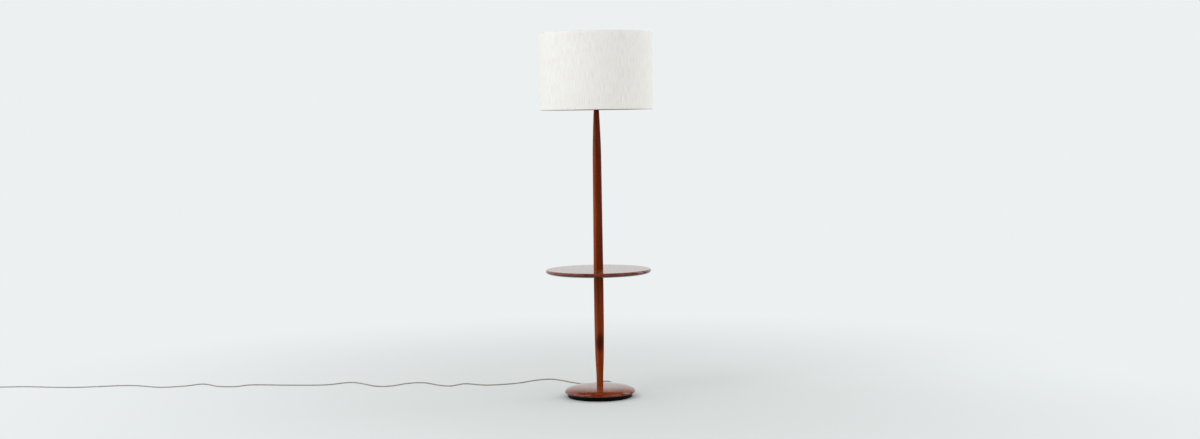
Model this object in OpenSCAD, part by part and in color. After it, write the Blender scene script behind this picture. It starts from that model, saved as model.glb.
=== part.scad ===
// Floor lamp with a round tray table part way up its turned walnut pole and a linen drum shade.
// Millimetres, +Z up. The origin is the centre of the foot, on the floor, under the pole's axis.
// The front faces -Y. The cord leaves the back of the base and runs away to the left.

/* [Base] */
// Widest diameter of the domed walnut base
base_d = 287; // [240:1:340]
// Height of the dome's crown above the floor, where the pole stands
base_crown_z = 46.5; // [40:0.5:60]
// Height of the dome's widest line above the floor
base_edge_z = 21; // [20:0.5:26]
// Diameter of the black iron weight under the dome
weight_d = 260; // [200:1:270]
// Thickness of the iron weight
weight_t = 16; // [14:0.5:18]
// Thickness of the felt pad under the weight
felt_t = 1.5; // [1:0.5:3]

/* [Pole] */
// Diameter of the pole where it stands on the base
pole_foot_d = 27; // [24:0.5:32]
// Diameter of the pole at its thickest, beside the table
pole_belly_d = 39; // [34:0.5:46]
// Diameter of the pole at its top, inside the shade
pole_tip_d = 21; // [19:0.5:26]
// Height of the top of the wooden pole
pole_top_z = 1168; // [1100:1:1168]

/* [Table] */
// Widest diameter of the round table
table_d = 427; // [360:1:480]
// Height of the table's top face
table_top_z = 520; // [450:1:600]
// Thickness of the table at its middle
table_t = 19; // [15:0.5:25]

/* [Shade] */
// Outer diameter of the drum shade
shade_d = 457; // [430:1:500]
// Height of the drum shade
shade_h = 308; // [300:1:340]
// Height of the shade's lower edge above the floor
shade_bottom_z = 1163; // [1140:1:1166]
// How far the spider's hub lies below the shade's upper edge
spider_drop = 27; // [25:1:32]

/* [Fittings] */
// Outer diameter of the threaded lamp pipe
pipe_d = 9.7; // [9.4:0.1:10]
// Greatest width of the harp, between wire centres
harp_w = 114; // [104:1:130]
// Diameter of the harp's wire
harp_wire_d = 3.2; // [2.6:0.1:4]
// How far each harp ferrule can be lifted
ferrule_travel = 25; // [15:1:28]
// Diameter of the bulb's globe
bulb_d = 60; // [45:1:67]

/* [Cord] */
// Diameter of the flexible cord
cord_d = 4.5; // [4:0.1:5.8]
// Diameter across the middle of the coil's turns
coil_d = 52; // [50:1:66]
// Turns in the coil, half of them spiralling in and half out
coil_turns = 2; // [2:1:5]
// Clear gap between neighbouring turns
coil_gap = 0.6; // [0.5:0.1:1]

/* [Hidden] */
$fn = 96;
cut = 1;                      // how far a cutter runs past the face that it cuts
running = 0.05;               // radial clearance of a piece that turns or slides
bend_step = 7.5;              // degrees between the rings of a bent wire
wire_sides = 12;

// colours, as the photograph shows the pieces
walnut = [0.36, 0.13, 0.06];
iron = [0.03, 0.025, 0.025];
brass = [0.72, 0.56, 0.28];
steel = [0.62, 0.62, 0.62];
linen = [0.90, 0.89, 0.85];
cord_brown = [0.42, 0.37, 0.34];

// base: the nut pocket leaves room for the cord to bend out of the pipe
weight_z = felt_t;
disc_z = weight_z + weight_t;             // underside of the wood, on the weight
base_r = base_d / 2;
base_lip = 5;                             // how far the wood's lower edge is rounded in
crown_r = 14;                             // radius of the flat that the pole stands on
dome_p = 3.5;                             // the dome's outline is a superellipse
dome_q = 2.2;
dome_steps = 22;
pocket_r = 16;
pocket_roof_z = base_crown_z - 8;
weight_bore_r = 24;
screw_circle_r = 85;
screw_angles = [30, 150, 270];
screw_shank_r = 2;
screw_head_r = 4.5;
screw_head_t = 3;
screw_bite = 10;                          // how deep the screws enter the wood
screw_drive_r = 2.2;                      // the square recess for the driver
screw_drive_depth = 1.6;

// threaded pipe and its nuts
pipe_r = pipe_d / 2;
pipe_bore_r = 3.2;
pipe_hole_r = pipe_r + 0.4;               // clearance hole through the wood
washer_t = 1.5;
washer_r = 14;
nut_t = 5.5;
nut_r = 8.1;                              // across the corners of the hexagon
pipe_tail = 1;                            // thread showing below the nut
nut_z = pocket_roof_z - washer_t - nut_t;
pipe_foot_z = nut_z - pipe_tail;
pipe_joint_z = table_top_z + 12;          // the two pipes meet inside the upper pole
coupling_r = 6.6;
coupling_h = 24;
coupling_slip = 0.2;                      // clearance of the coupling in its pocket

// pole: how far it has swollen from foot to belly, and from tip to belly, up its two lengths
table_bottom_z = table_top_z - table_t;
lower_swell = [[0, 0], [0.05, 0.02], [0.12, 0.16], [0.20, 0.45], [0.28, 0.66],
    [0.38, 0.80], [0.52, 0.94], [0.72, 0.985], [1, 1]];
upper_swell = [[0, 0.99], [0.10, 0.955], [0.25, 0.90], [0.40, 0.855], [0.55, 0.81],
    [0.66, 0.78], [0.73, 0.735], [0.80, 0.61], [0.87, 0.43], [0.935, 0.235], [1, 0]];
swell_steps = 4;
tenon_r = 12;                             // the lower pole's tenon passes through the table
housing_depth = 2;                        // the upper pole's foot is let into the table's top
housing_r = pole_belly_d / 2 + 0.1;

// table: rounded over above its widest line, long underside bevel below it
table_r = table_d / 2;
table_edge_drop = 8;
table_round_in = 7.5;
table_bevel_in = 28;
table_steps = 10;

// neck, saddle and harp, stacked on the pipe above the pole
neck_ring_t = 3;
neck_nut_t = 4;
saddle_t = 1.5;
saddle_w = 12;
saddle_z = pole_top_z + neck_ring_t + neck_nut_t;
saddle_foot_x = 13;
harp_leg_x = 30;
saddle_arm_rise = 8;
saddle_pin_z = saddle_z + saddle_arm_rise;
harp_r = harp_wire_d / 2;
harp_leg_z = saddle_z + 15;               // the leg's end stands on the saddle's pin
ferrule_r = 3.7;
ferrule_h = 15;
ferrule_below = 6;                        // how far a ferrule hangs below the leg's end
harp_leg_h = ferrule_travel + ferrule_h - ferrule_below + 4;
harp_flare = 22;                          // degrees that the wire leans out below the bulb
harp_flare_r = 30;
harp_shoulder_r = 60;
harp_top_r = 45;
harp_top_run = harp_w / 2 - harp_top_r;   // half the straight stretch at the top
shade_top_z = shade_bottom_z + shade_h;
seat_z = shade_top_z - spider_drop;       // the spider's hub rests here
harp_top_z = seat_z - 5;
harp_flare_len = (harp_w / 2 - harp_leg_x
    - (harp_flare_r + harp_shoulder_r) * (1 - cos(harp_flare))) / sin(harp_flare);
harp_side_len = harp_top_z - harp_leg_z - harp_leg_h - harp_top_r
    - (harp_flare_r + harp_shoulder_r) * sin(harp_flare) - harp_flare_len * cos(harp_flare);
ferrule_z = harp_leg_z - ferrule_below;
swivel_r = 6;
swivel_h = 10;
stud_r = 3.15;
stud_h = 16;

// socket
cap_z = saddle_z + saddle_t;
cap_neck_r = 7;
cap_neck_h = 8;
cap_bowl_h = 13;
cap_t = 0.8;
shell_r = 17.3;
shell_t = 0.6;
shell_z = cap_z + cap_neck_h + cap_bowl_h - 3;
shell_h = 42;
liner_t = 0.6;
liner_r = shell_r - shell_t;
liner_z = shell_z + 3;
liner_h = 37;
body_r = 14;
body_z = shell_z + 5;
body_h = 12;
screw_r = 13.9;
screw_t = 0.5;
screw_z = body_z + body_h;
screw_rings = 6.5;
thread_pitch = 3.6;
thread_depth = 0.5;
switch_z = body_z + body_h / 2;
key_shaft_r = 2.4;
key_in_y = 8;
key_out_y = 27;
key_knob_r = 6.5;
key_knob_l = 13;
terminal_z = body_z + 5;
terminal_r = 2.6;
terminal_t = 1.5;
terminal_slot = 0.7;
lead_r = 0.8;
lead_x = body_r + lead_r + 0.1;
lead_start_x = 1.4;
cord_top_z = cap_z + cap_neck_h + 5;
lead_rise = terminal_z - 2.7 - cord_top_z - 4.6;
pipe_top_z = cap_z + cap_neck_h;

// bulb
bulb_cap_r = screw_r - screw_t - running;
bulb_cap_z = screw_z + 2.5;
bulb_cap_h = 24;
bulb_glass_z = bulb_cap_z + bulb_cap_h;
bulb_neck_h = 34;
bulb_wall = 1;
bulb_seat = 4;                            // how deep the glass's neck sits in the metal cap
bulb_seat_r = bulb_cap_r - 0.4;
bulb_steps = 16;

// shade
shade_r = shade_d / 2;
fabric_t = 0.6;
styrene_t = 0.7;
ring_r = 2;
hem_h = 12;
liner_out_r = shade_r - fabric_t;
liner_in_r = liner_out_r - styrene_t;
ring_path_r = liner_in_r - ring_r;
hem_out_r = ring_path_r - ring_r;
hub_r = 14;
hub_t = 2;
arm_r = 1.8;
arm_angles = [90, 210, 330];
arm_knee_in = 18;                         // the arms drop to the hub's level over this run
finial_h = 22;
finial_r = 9;

// cord
cord_r = cord_d / 2;
channel_w = 9;
channel_h = 10;
cord_inside_z = 7;
cord_bend_r = pipe_foot_z - 0.5 - cord_inside_z;
grommet_in_y = 112;
grommet_flange_y = weight_d / 2;
grommet_end_y = 165;
grommet_plug_r = 4;                       // the part pressed into the channel
grommet_flange_r = 6;
grommet_flange_t = 2.5;
sleeve_root_r = cord_r + 3.1;             // the sleeve tapers along the cord
sleeve_tip_r = cord_r + 1.3;
// the free cord's route from the grommet's end to the coil; a third number is its height,
// and every other point lies on the floor
cord_route = [
    [0, 165, 7], [0, 175, 7], [0, 190, 7], [0, 225, 3.5], [31, 303], [44, 334], [46, 358],
    [37, 375], [20, 380], [4, 371], [-7, 352], [-40, 325], [-76, 322], [-118, 357],
    [-170, 424], [-222, 458], [-285, 425], [-360, 354], [-480, 317], [-577, 362],
    [-635, 307], [-690, 335], [-760, 405], [-830, 390], [-890, 330], [-955, 328],
    [-1070, 438], [-1180, 382], [-1330, 386], [-1500, 408], [-1565, 366], [-1640, 380],
    [-1720, 448], [-1790, 400], [-1890, 376], [-2040, 436], [-2270, 404], [-2480, 440],
    [-2570, 440], [-2630, 440]];
route_steps = 2;
cord_sides = 10;

// coil: spirals in on the floor, climbs as it turns back, and spirals out on top
coil_pitch = cord_d + coil_gap;
coil_half = coil_turns / 2;
coil_out_r = coil_d / 2 + coil_pitch * coil_half / 2;
coil_lead = 35;                           // straight stretch before the first turn
coil_entry = cord_route[len(cord_route) - 1];
coil_centre = coil_entry - [coil_lead, coil_out_r];
coil_rings = 24;                          // rings in each turn
coil_sides = 6;
coil_end = coil_out_r + cord_r + 4;       // straight stretch from the last turn to the plug
plug_l = 36;
plug_w = 25;
plug_t = 2 * (cord_r + coil_pitch);       // the plug lies flat, at the upper turns' level
plug_x = coil_centre[0] - coil_end;
plug_sleeve = 12;                         // the plug's tapered end, where the cord enters
blade_l = 17;
blade_w = 6.4;
blade_t = 1.5;
blade_gap = 12.7;

// ---- shared curves -------------------------------------------------------------------

// a point on the smooth curve through points, t of the way from point i to the next
function on_curve(points, i, t) =
    let (p0 = points[max(i - 1, 0)], p1 = points[i], p2 = points[i + 1],
        p3 = points[min(i + 2, len(points) - 1)])
    p1 + 0.5 * t * ((p2 - p0) + t * ((2 * p0 - 5 * p1 + 4 * p2 - p3)
        + t * (3 * p1 - p0 - 3 * p2 + p3)));
function smooth(points, steps) = concat(
    [for (i = [0 : len(points) - 2]) for (s = [0 : steps - 1]) on_curve(points, i, s / steps)],
    [points[len(points) - 1]]);

function unit(v) = v / norm(v);
function run_length(points, i = 0) =
    i >= len(points) - 1 ? 0 : norm(points[i + 1] - points[i]) + run_length(points, i + 1);
// the direction of a path at point i
function heading(points, i) =
    unit(points[min(i + 1, len(points) - 1)] - points[max(i - 1, 0)]);
// one ring of a tube, square to its heading, with a corner straight away from up
function tube_ring(centre, along, r, sides, up_is) =
    let (side = unit(cross(along, up_is)), up = cross(side, along))
    [for (k = [0 : sides - 1])
        centre + r * (sin(360 * k / sides) * side - cos(360 * k / sides) * up)];

module tube(points, r, sides, up_is = [0, 0, 1]) {
    rings = len(points);
    corners = [for (i = [0 : rings - 1])
        each tube_ring(points[i], heading(points, i), r, sides, up_is)];
    walls = [for (i = [0 : rings - 2]) for (k = [0 : sides - 1])
        let (a = i * sides + k, b = i * sides + (k + 1) % sides)
        each [[a, b, b + sides], [a, b + sides, a + sides]]];
    start = [for (k = [1 : sides - 2]) [0, k + 1, k]];
    last = (rings - 1) * sides;
    end = [for (k = [1 : sides - 2]) [last, last + k, last + k + 1]];
    polyhedron(corners, concat(walls, start, end));
}

// the centre line of a wire bent in one upright plane, from the origin up, as [across, up]:
// each move is a straight length, or [bend radius, degrees]
function bent(moves, at = [0, 0], lean = 0, i = 0) =
    i >= len(moves) ? [at] :
    let (move = moves[i])
    is_num(move) ? concat([at], bent(moves, at + move * [sin(lean), cos(lean)], lean, i + 1)) :
    let (r = sign(move[1]) * move[0], centre = at + r * [cos(lean), -sin(lean)],
        steps = ceil(abs(move[1]) / bend_step),
        arc = [for (k = [0 : steps]) let (a = lean + move[1] * k / steps)
            centre - r * [cos(a), -sin(a)]])
    concat([for (k = [0 : steps - 1]) arc[k]],
        bent(moves, arc[steps], lean + move[1], i + 1));
function upright(path) = [for (p = path) [p[0], 0, p[1]]];

module rod_between(a, b, r) {
    along = b - a;
    translate(a)
        rotate([0, acos(along[2] / norm(along)), atan2(along[1], along[0])])
            cylinder(h = norm(along), r = r);
}

module hexagon_nut(h, r, bore) {
    difference() {
        cylinder(h = h, r = r, $fn = 6);
        translate([0, 0, -cut])
            cylinder(h = h + 2 * cut, r = bore);
    }
}

module ring_of(h, r_out, r_in) {
    difference() {
        cylinder(h = h, r = r_out);
        translate([0, 0, -cut])
            cylinder(h = h + 2 * cut, r = r_in);
    }
}

// ---- base ----------------------------------------------------------------------------

module base_felt() {
    color([0.10, 0.10, 0.10])
        cylinder(h = felt_t, r = weight_d / 2 - 3);
}

module base_weight() {
    color(iron)
        difference() {
            translate([0, 0, weight_z])
                cylinder(h = weight_t, r = weight_d / 2);
            translate([0, 0, weight_z - cut])
                cylinder(h = weight_t + 2 * cut, r = weight_bore_r);
            // the cord's channel runs out to the back
            translate([-channel_w / 2, 0, weight_z - cut])
                cube([channel_w, weight_d, channel_h + cut]);
            for (a = screw_angles)
                rotate([0, 0, a])
                    translate([screw_circle_r, 0, weight_z])
                        screw_space();
        }
}

module screw_space() {
    translate([0, 0, -cut])
        cylinder(h = weight_t + 2 * cut, r = screw_shank_r);
    translate([0, 0, -cut])
        cylinder(h = screw_head_t + cut, r = screw_head_r);
}

module base_screws() {
    color(steel)
        for (a = screw_angles)
            rotate([0, 0, a])
                translate([screw_circle_r, 0, weight_z])
                    wood_screw();
}

module wood_screw() {
    difference() {
        union() {
            cylinder(h = weight_t + screw_bite, r = screw_shank_r);
            cylinder(h = screw_head_t, r = screw_head_r);
        }
        translate([0, 0, -cut])
            cylinder(h = screw_drive_depth + cut, r = screw_drive_r, $fn = 4);
    }
}

// the dome's height falls from its crown to its widest line as a superellipse
function dome_z(r) =
    base_edge_z + (base_crown_z - base_edge_z)
        * pow(1 - pow(r / base_r, dome_p), 1 / dome_q);

module base_disc() {
    outline = concat(
        [[0, disc_z], [base_r - base_lip, disc_z]],
        [for (k = [1 : 4]) let (a = 90 - k * 22.5)
            [base_r - base_lip * (1 - cos(a)), base_edge_z - (base_edge_z - disc_z) * sin(a)]],
        [for (k = [1 : dome_steps])
            let (r = crown_r + (base_r - crown_r) * pow(1 - k / dome_steps, 0.55))
            [r, dome_z(r)]],
        [[0, dome_z(crown_r)]]);
    color(walnut)
        difference() {
            rotate_extrude()
                polygon(outline);
            translate([0, 0, disc_z - cut])
                cylinder(h = base_crown_z, r = pipe_hole_r);
            translate([0, 0, disc_z - cut])
                cylinder(h = pocket_roof_z - disc_z + cut, r = pocket_r);
            for (a = screw_angles)
                rotate([0, 0, a])
                    translate([screw_circle_r, 0, disc_z - cut])
                        cylinder(h = screw_bite + cut, r = screw_shank_r);
        }
}

module pipe_washer() {
    color(steel)
        translate([0, 0, pocket_roof_z - washer_t])
            ring_of(washer_t, washer_r, pipe_r);
}

module pipe_nut() {
    color(steel)
        translate([0, 0, nut_z])
            hexagon_nut(nut_t, nut_r, pipe_r);
}

// ---- pole and table ------------------------------------------------------------------

// one turned length of the pole: its radius goes from thin to thick as the list says
module turned_pole(foot_z, top_z, thin_r, thick_r, swell) {
    stations = [for (s = swell)
        [thin_r + (thick_r - thin_r) * s[1], foot_z + (top_z - foot_z) * s[0]]];
    rotate_extrude()
        polygon(concat([[0, foot_z]], smooth(stations, swell_steps), [[0, top_z]]));
}

module pole_lower() {
    foot_z = dome_z(crown_r);
    color(walnut)
        difference() {
            union() {
                turned_pole(foot_z, table_bottom_z, pole_foot_d / 2, pole_belly_d / 2,
                    lower_swell);
                translate([0, 0, table_bottom_z - cut])
                    cylinder(h = table_t - housing_depth + cut, r = tenon_r);
            }
            translate([0, 0, foot_z - cut])
                cylinder(h = table_top_z, r = pipe_hole_r);
        }
}

module pole_upper() {
    foot_z = table_top_z - housing_depth;
    pocket_top_z = pipe_joint_z + coupling_h / 2;
    color(walnut)
        difference() {
            turned_pole(foot_z, pole_top_z, pole_tip_d / 2, pole_belly_d / 2, upper_swell);
            translate([0, 0, foot_z - cut])
                cylinder(h = pole_top_z, r = pipe_hole_r);
            translate([0, 0, foot_z - cut])
                cylinder(h = pocket_top_z - foot_z + cut, r = coupling_r + coupling_slip);
        }
}

module table_top() {
    edge_z = table_top_z - table_edge_drop;
    outline = concat(
        [[0, table_bottom_z]],
        [for (k = [0 : table_steps]) let (a = 90 * k / table_steps)
            [table_r - table_bevel_in * (1 - sin(a)),
                edge_z - (edge_z - table_bottom_z) * cos(a)]],
        [for (k = [1 : table_steps]) let (a = 90 * k / table_steps)
            [table_r - table_round_in * (1 - cos(a)), edge_z + table_edge_drop * sin(a)]],
        [[0, table_top_z]]);
    color(walnut)
        difference() {
            rotate_extrude()
                polygon(outline);
            translate([0, 0, table_bottom_z - cut])
                cylinder(h = table_t + 2 * cut, r = tenon_r);
            translate([0, 0, table_top_z - housing_depth])
                cylinder(h = housing_depth + cut, r = housing_r);
        }
}

module pipe_lower() {
    color(steel)
        translate([0, 0, pipe_foot_z])
            ring_of(pipe_joint_z - pipe_foot_z, pipe_r, pipe_bore_r);
}

module pipe_upper() {
    color(steel)
        translate([0, 0, pipe_joint_z])
            ring_of(pipe_top_z - pipe_joint_z, pipe_r, pipe_bore_r);
}

module pipe_coupling() {
    color(steel)
        translate([0, 0, pipe_joint_z - coupling_h / 2])
            ring_of(coupling_h, coupling_r, pipe_r);
}

// ---- neck, saddle and harp -----------------------------------------------------------

module neck_ring() {
    color(brass)
        translate([0, 0, pole_top_z])
            difference() {
                union() {
                    cylinder(h = neck_ring_t / 2, r = pole_tip_d / 2 + 1.5);
                    cylinder(h = neck_ring_t, r = pole_tip_d / 2 - 0.5);
                }
                translate([0, 0, -cut])
                    cylinder(h = neck_ring_t + 2 * cut, r = pipe_r);
            }
}

module neck_nut() {
    color(brass)
        translate([0, 0, pole_top_z + neck_ring_t])
            hexagon_nut(neck_nut_t, nut_r, pipe_r);
}

// a bent strap with an arm on each side; each arm carries an upright pin for the harp's leg
module harp_saddle() {
    color(brass)
        difference() {
            union() {
                translate([-saddle_foot_x, -saddle_w / 2, saddle_z])
                    cube([2 * saddle_foot_x, saddle_w, saddle_t]);
                for (side = [0, 180])
                    rotate([0, 0, side]) {
                        saddle_arm();
                        translate([harp_leg_x, 0, saddle_pin_z - saddle_t])
                            cylinder(h = harp_leg_z - saddle_pin_z + saddle_t, r = harp_r);
                    }
            }
            translate([0, 0, saddle_z - cut])
                cylinder(h = saddle_t + 2 * cut, r = pipe_r);
        }
}

module saddle_arm() {
    ledge = 4;
    rotate([90, 0, 0])
        translate([0, 0, -saddle_w / 3])
            linear_extrude(height = 2 * saddle_w / 3)
                polygon([[saddle_foot_x - 2, saddle_z], [saddle_foot_x, saddle_z],
                    [harp_leg_x - ledge + 1, saddle_pin_z - saddle_t],
                    [harp_leg_x + ledge, saddle_pin_z - saddle_t],
                    [harp_leg_x + ledge, saddle_pin_z],
                    [harp_leg_x - ledge, saddle_pin_z],
                    [saddle_foot_x - 2, saddle_z + saddle_t]]);
}

module harp_ferrule_left() {
    harp_ferrule(-harp_leg_x);
}

module harp_ferrule_right() {
    harp_ferrule(harp_leg_x);
}

module harp_ferrule(x) {
    color(brass)
        translate([x, 0, ferrule_z])
            difference() {
                union() {
                    cylinder(h = ferrule_h, r = ferrule_r - 0.6);
                    translate([0, 0, 1])
                        cylinder(h = ferrule_h - 3, r = ferrule_r);
                }
                translate([0, 0, -cut])
                    cylinder(h = ferrule_h + 2 * cut, r = harp_r + running);
            }
}

// the legs are round for the ferrules to slide on; the rest is one bent tube
module harp_wire() {
    half = bent([[harp_flare_r, harp_flare], harp_flare_len, [harp_shoulder_r, -harp_flare],
        harp_side_len, [harp_top_r, -90], harp_top_run]);
    bend_z = harp_leg_z + harp_leg_h;
    right = [for (p = half) [harp_leg_x + p[0], bend_z + p[1]]];
    left = [for (i = [len(right) - 2 : -1 : 0]) [-right[i][0], right[i][1]]];
    color(brass)
        union() {
            tube(upright(concat(right, left)), harp_r, wire_sides, [0, 1, 0]);
            for (side = [-1, 1])
                translate([side * harp_leg_x, 0, harp_leg_z])
                    cylinder(h = harp_leg_h, r = harp_r);
        }
}

// the block clamped on the top of the harp, with the threaded stud that carries the shade
module harp_swivel() {
    color(brass)
        difference() {
            union() {
                translate([0, 0, seat_z - swivel_h])
                    cylinder(h = swivel_h, r = swivel_r);
                translate([0, 0, seat_z - cut])
                    cylinder(h = stud_h + cut, r = stud_r);
            }
            translate([0, 0, harp_top_z])
                rotate([0, 90, 0])
                    cylinder(h = 4 * swivel_r, r = harp_r, center = true);
        }
}

// ---- socket, switch and bulb ---------------------------------------------------------

module socket_cap() {
    bowl_z = cap_z + cap_neck_h;
    rim_z = bowl_z + cap_bowl_h;
    rim_r = shell_r + cap_t;
    inner_r = rim_r - cap_t;
    color(brass)
        rotate_extrude()
            polygon([[pipe_r, cap_z], [cap_neck_r, cap_z], [cap_neck_r, bowl_z - 1],
                [cap_neck_r + 4, bowl_z + 1.5], [rim_r - 3, bowl_z + 6], [rim_r - 0.8, bowl_z + 9],
                [rim_r, rim_z - 3], [rim_r, rim_z], [inner_r, rim_z], [inner_r, rim_z - 3],
                [inner_r - 0.8, bowl_z + 9.2], [inner_r - 3, bowl_z + 6.8],
                [cap_neck_r + 3, bowl_z + 2.4], [cap_neck_r - 1, bowl_z], [pipe_r, bowl_z]]);
}

module socket_shell() {
    bead_r = 0.5;
    color(brass)
        difference() {
            union() {
                translate([0, 0, shell_z])
                    cylinder(h = shell_h, r = shell_r);
                translate([0, 0, shell_z + shell_h])
                    rotate_extrude()
                        translate([shell_r - bead_r, 0])
                            circle(r = bead_r + 0.3);
            }
            translate([0, 0, shell_z - cut])
                cylinder(h = shell_h + 2 * cut + bead_r, r = shell_r - shell_t);
            key_space(key_shaft_r + running);
        }
}

// a hole along the key's shaft, through the socket's front wall
module key_space(r) {
    translate([0, 0, switch_z])
        rotate([90, 0, 0])
            translate([0, 0, key_in_y])
                cylinder(h = key_out_y, r = r);
}

module socket_liner() {
    color([0.55, 0.42, 0.28])
        difference() {
            translate([0, 0, liner_z])
                ring_of(liner_h, liner_r, liner_r - liner_t);
            key_space(key_shaft_r + 1);
        }
}

module socket_body() {
    color([0.12, 0.10, 0.09])
        difference() {
            translate([0, 0, body_z])
                cylinder(h = body_h, r = body_r);
            key_space(key_shaft_r + running);
        }
}

// rings of a rolled thread, as a wavy outline between two heights, counted in pitches
function thread_outline(r, from, to) =
    [for (n = [from : 0.25 : to])
        [r - thread_depth * (0.5 + 0.5 * cos(360 * n)), screw_z + n * thread_pitch]];

module socket_screw_shell() {
    outer = thread_outline(screw_r, 0, screw_rings);
    inner = thread_outline(screw_r - screw_t, 0, screw_rings);
    color(brass)
        rotate_extrude()
            polygon(concat(outer, [for (i = [len(inner) - 1 : -1 : 0]) inner[i]]));
}

module socket_contact() {
    color(brass)
        translate([0, 0, screw_z])
            union() {
                cylinder(h = 1, r = 5);
                cylinder(h = bulb_cap_z - screw_z - 1, r = 2.5);
            }
}

module terminal_screws() {
    color(brass)
        for (side = [0, 180])
            rotate([0, 0, side])
                translate([body_r, 0, terminal_z])
                    rotate([0, 90, 0])
                        difference() {
                            cylinder(h = terminal_t, r = terminal_r);
                            translate([-terminal_r - cut, -terminal_slot / 2, terminal_t * 0.6])
                                cube([2 * (terminal_r + cut), terminal_slot, terminal_t]);
                        }
}

module socket_leads() {
    lead_bend_r = 2;
    path = [for (p = bent([0.6, [lead_bend_r, 90], lead_x - lead_start_x - 2 * lead_bend_r,
        [lead_bend_r, -90], lead_rise])) [lead_start_x + p[0], cord_top_z + p[1]]];
    color([0.75, 0.72, 0.62])
        for (side = [0, 180])
            rotate([0, 0, side])
                tube(upright(path), lead_r, wire_sides, [0, 1, 0]);
}

module switch_key() {
    grip_t = 4;
    color(iron)
        translate([0, 0, switch_z])
            rotate([90, 0, 0]) {
                translate([0, 0, key_in_y + 1])
                    cylinder(h = key_out_y - key_in_y, r = key_shaft_r);
                translate([0, 0, key_out_y])
                    intersection() {
                        cylinder(h = key_knob_l, r1 = key_knob_r - 2, r2 = key_knob_r);
                        union() {
                            cylinder(h = 3, r = key_knob_r);
                            translate([-key_knob_r, -grip_t / 2, 0])
                                cube([2 * key_knob_r, grip_t, key_knob_l]);
                        }
                    }
            }
}

// outline of the bulb's glass: a globe over a neck that narrows into the metal cap
function bulb_outline(in) =
    let (r = bulb_d / 2 - in, neck = bulb_seat_r - in,
        centre = bulb_glass_z + bulb_neck_h, low = -35)
    concat(
        [[neck, bulb_glass_z - bulb_seat], [neck, bulb_glass_z]],
        [for (t = [0.25, 0.5, 0.75])
            [neck + (r * cos(low) - neck) * t * t * (1.6 - 0.6 * t),
                bulb_glass_z + (bulb_neck_h + r * sin(low)) * t]],
        [for (k = [0 : bulb_steps]) let (a = low + (90 - low) * k / bulb_steps)
            [max(r * cos(a), 0), centre + r * sin(a)]]);

module bulb_glass() {
    inner = bulb_outline(bulb_wall);
    color([0.95, 0.95, 0.93])
        rotate_extrude()
            polygon(concat(bulb_outline(0), [for (i = [len(inner) - 1 : -1 : 0]) inner[i]]));
}

module bulb_base() {
    color([0.75, 0.75, 0.72])
        difference() {
            union() {
                rotate_extrude()
                    polygon(concat(
                        [[0, bulb_cap_z + 3], [bulb_cap_r - 3, bulb_cap_z + 3]],
                        thread_outline(bulb_cap_r, 2, 7),
                        [[bulb_cap_r, bulb_glass_z], [0, bulb_glass_z]]));
                translate([0, 0, bulb_cap_z])
                    cylinder(h = 4, r = 4.5);
            }
            translate([0, 0, bulb_glass_z - bulb_seat])
                cylinder(h = bulb_seat + cut, r = bulb_seat_r);
        }
}

// ---- shade ---------------------------------------------------------------------------

// linen turned in over both wires, so its section is a tall C
module shade_fabric() {
    z0 = shade_bottom_z;
    z1 = shade_top_z;
    hem_in_r = hem_out_r - fabric_t;
    color(linen)
        rotate_extrude()
            polygon([[hem_in_r, z0], [shade_r, z0], [shade_r, z1], [hem_in_r, z1],
                [hem_in_r, z1 - hem_h], [hem_out_r, z1 - hem_h], [hem_out_r, z1 - fabric_t],
                [liner_out_r, z1 - fabric_t], [liner_out_r, z0 + fabric_t],
                [hem_out_r, z0 + fabric_t], [hem_out_r, z0 + hem_h], [hem_in_r, z0 + hem_h]]);
}

module shade_liner() {
    color([0.93, 0.92, 0.89])
        translate([0, 0, shade_bottom_z + fabric_t])
            ring_of(shade_h - 2 * fabric_t, liner_out_r, liner_in_r);
}

module shade_ring(z) {
    color(steel)
        translate([0, 0, z])
            rotate_extrude()
                translate([ring_path_r, 0])
                    circle(r = ring_r);
}

module shade_top_ring() {
    shade_ring(shade_top_z - fabric_t - ring_r);
}

module shade_bottom_ring() {
    shade_ring(shade_bottom_z + fabric_t + ring_r);
}

// three arms, welded inside the top wire's hem, drop to a flat hub on the harp's stud
module shade_spider() {
    arm_start_r = hem_out_r - fabric_t - arm_r;
    arm_start_z = shade_top_z - hem_h + 2;
    knee_r = arm_start_r - arm_knee_in;
    arm_z = seat_z + hub_t / 2;
    color(brass)
        difference() {
            union() {
                translate([0, 0, seat_z])
                    cylinder(h = hub_t, r = hub_r);
                for (a = arm_angles)
                    rotate([0, 0, a]) {
                        rod_between([arm_start_r, 0, shade_top_z - 2], [arm_start_r, 0, arm_start_z],
                            arm_r);
                        translate([arm_start_r, 0, arm_start_z])
                            sphere(r = arm_r);
                        rod_between([arm_start_r, 0, arm_start_z], [knee_r, 0, arm_z], arm_r);
                        translate([knee_r, 0, arm_z])
                            sphere(r = arm_r);
                        rod_between([knee_r, 0, arm_z], [hub_r - 3, 0, arm_z], arm_r);
                    }
            }
            translate([0, 0, seat_z - 2 * arm_r])
                cylinder(h = 4 * arm_r + hub_t, r = stud_r + running);
        }
}

module finial() {
    foot_z = seat_z + hub_t;
    color(brass)
        difference() {
            rotate_extrude()
                polygon(concat(
                    [[0, foot_z], [finial_r - 2, foot_z], [finial_r - 2, foot_z + 3],
                        [finial_r - 4, foot_z + 4.5], [finial_r - 4, foot_z + 6]],
                    [for (k = [0 : 10]) let (a = -50 + 140 * k / 10)
                        [(finial_r - 0.5) * cos(a), foot_z + finial_h - 8.5 + 8.5 * sin(a)]]));
            translate([0, 0, foot_z - cut])
                cylinder(h = stud_h - hub_t + 0.5 + cut, r = stud_r + running);
        }
}

// ---- cord and plug -------------------------------------------------------------------

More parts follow.
